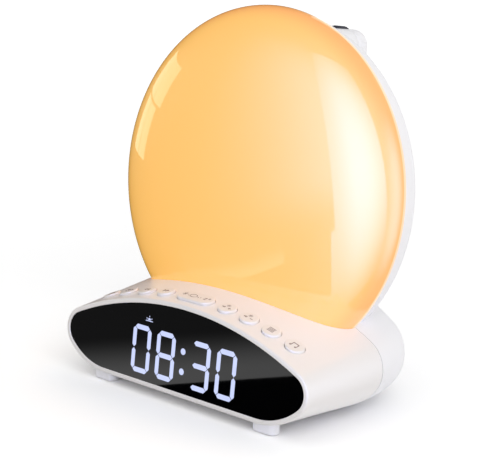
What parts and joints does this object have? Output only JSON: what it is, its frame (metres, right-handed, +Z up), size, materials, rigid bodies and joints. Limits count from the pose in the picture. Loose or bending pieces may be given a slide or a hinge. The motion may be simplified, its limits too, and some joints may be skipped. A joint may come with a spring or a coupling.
{
  "type": "sunrise alarm clock",
  "caption": "Sunrise alarm clock: a domed round wake-up light leaning back on an arched base with a digit display, top buttons and a swivelling rear projector.",
  "frame": {"origin": "middle of the bounding box, on the table", "axes": "+X to the right of someone facing the display, -Y the display side, +Z up"},
  "size_m": [0.2, 0.1266, 0.2112],
  "materials": {
    "housing_white": "satin white",
    "cover_white": "fine texture",
    "diffuser_amber": "milky, lit from behind",
    "reflector_white": "gloss",
    "circuit_board": "solder mask",
    "led_resin": "clear resin",
    "steel_screws": "zinc plated",
    "screen_black": "polished",
    "segments_lit": "glowing",
    "segments_idle": "milky",
    "display_grey": "matt",
    "switch_black": "matt",
    "button_white": "satin",
    "bright_metal": "nickel plated",
    "speaker_steel": "satin",
    "cone_paper": "paper",
    "magnet_steel": "bare",
    "spring_brass": "bare",
    "drum_white": "satin",
    "lens_glass": "polished",
    "wheel_grey": "matt",
    "foot_rubber": "soft, light grey",
    "ribbon_grey": "flat cable"
  },
  "bodies": {
    "clock": {"front_housing": "housing_white", "rear_cover": "cover_white", "diffuser": "diffuser_amber", "light_reflector": "reflector_white", "light_board": "circuit_board", "light_leds": "led_resin", "light_screws": "steel_screws", "screen_lens": "screen_black", "lit_segments": "segments_lit", "idle_segments": "segments_idle", "display_reflector": "display_grey", "display_board": "circuit_board", "display_leds": "led_resin", "display_screws": "steel_screws", "switch_board": "circuit_board", "tact_switches": "switch_black", "switch_board_screws": "steel_screws", "main_board": "circuit_board", "main_chips": "switch_black", "main_board_screws": "steel_screws", "power_inlet": "switch_black", "inlet_pin": "bright_metal", "usb_port": "bright_metal", "usb_tongue": "switch_black", "speaker_frame": "speaker_steel", "speaker_cone": "cone_paper", "speaker_magnet": "magnet_steel", "speaker_screws": "steel_screws", "backup_cell": "bright_metal", "battery_contact": "spring_brass", "projector_saddle": "cover_white", "projector_cap": "cover_white", "projector_screws": "steel_screws", "saddle_screws": "steel_screws", "front_feet": "foot_rubber", "rear_feet": "foot_rubber", "case_screws": "steel_screws", "display_ribbon": "ribbon_grey", "light_ribbon": "ribbon_grey"},
    "projector_head": {"projector_drum": "drum_white", "projector_lens": "lens_glass", "projector_film": "switch_black", "projector_lamp": "circuit_board"},
    "focus_wheel": {"focus_wheel": "wheel_grey"},
    "battery_door": {"battery_door": "cover_white"},
    "button_alarm_one": {"button_alarm_one": "button_white"},
    "button_alarm_two": {"button_alarm_two": "button_white"},
    "button_back": {"button_back": "button_white"},
    "button_next": {"button_next": "button_white"},
    "button_snooze": {"button_snooze": "button_white"},
    "button_up": {"button_up": "button_white"},
    "button_down": {"button_down": "button_white"},
    "button_menu": {"button_menu": "button_white"},
    "button_sound": {"button_sound": "button_white"}
  },
  "joints": [
    {"name": "press_alarm_one", "type": "slide", "parent": "clock", "child": "button_alarm_one", "axis": [0, 0.1125, -0.9937], "range_m": [0, 0.0008], "stiffness_N_per_m": 900, "springref_m": -0.0004},
    {"name": "press_alarm_two", "type": "slide", "parent": "clock", "child": "button_alarm_two", "axis": [0, 0.1125, -0.9937], "range_m": [0, 0.0008], "stiffness_N_per_m": 900, "springref_m": -0.0004},
    {"name": "press_back", "type": "slide", "parent": "clock", "child": "button_back", "axis": [0, 0.1125, -0.9937], "range_m": [0, 0.0008], "stiffness_N_per_m": 900, "springref_m": -0.0004},
    {"name": "press_next", "type": "slide", "parent": "clock", "child": "button_next", "axis": [0, 0.1125, -0.9937], "range_m": [0, 0.0008], "stiffness_N_per_m": 900, "springref_m": -0.0004},
    {"name": "press_snooze", "type": "slide", "parent": "clock", "child": "button_snooze", "axis": [0, 0.1125, -0.9937], "range_m": [0, 0.0008], "stiffness_N_per_m": 900, "springref_m": -0.0004},
    {"name": "press_up", "type": "slide", "parent": "clock", "child": "button_up", "axis": [0, 0.1125, -0.9937], "range_m": [0, 0.0008], "stiffness_N_per_m": 900, "springref_m": -0.0004},
    {"name": "press_down", "type": "slide", "parent": "clock", "child": "button_down", "axis": [0, 0.1125, -0.9937], "range_m": [0, 0.0008], "stiffness_N_per_m": 900, "springref_m": -0.0004},
    {"name": "press_menu", "type": "slide", "parent": "clock", "child": "button_menu", "axis": [0, 0.1125, -0.9937], "range_m": [0, 0.0008], "stiffness_N_per_m": 900, "springref_m": -0.0004},
    {"name": "press_sound", "type": "slide", "parent": "clock", "child": "button_sound", "axis": [0, 0.1125, -0.9937], "range_m": [0, 0.0008], "stiffness_N_per_m": 900, "springref_m": -0.0004},
    {"name": "projector_tilt", "type": "hinge", "parent": "clock", "child": "projector_head", "pos_m": [0, 0.05274, 0.18869], "axis": [1, 0, 0], "range_deg": [-95, 30]},
    {"name": "focus_turn", "type": "hinge", "parent": "projector_head", "child": "focus_wheel", "pos_m": [0, 0.05274, 0.18869], "axis": [1, 0, 0], "range_deg": [-120, 120]},
    {"name": "battery_door_turn", "type": "hinge", "parent": "clock", "child": "battery_door", "pos_m": [-0.002, 0.01439, 0.00238], "axis": [0, 0, 1], "range_deg": [0, 60]}
  ]
}
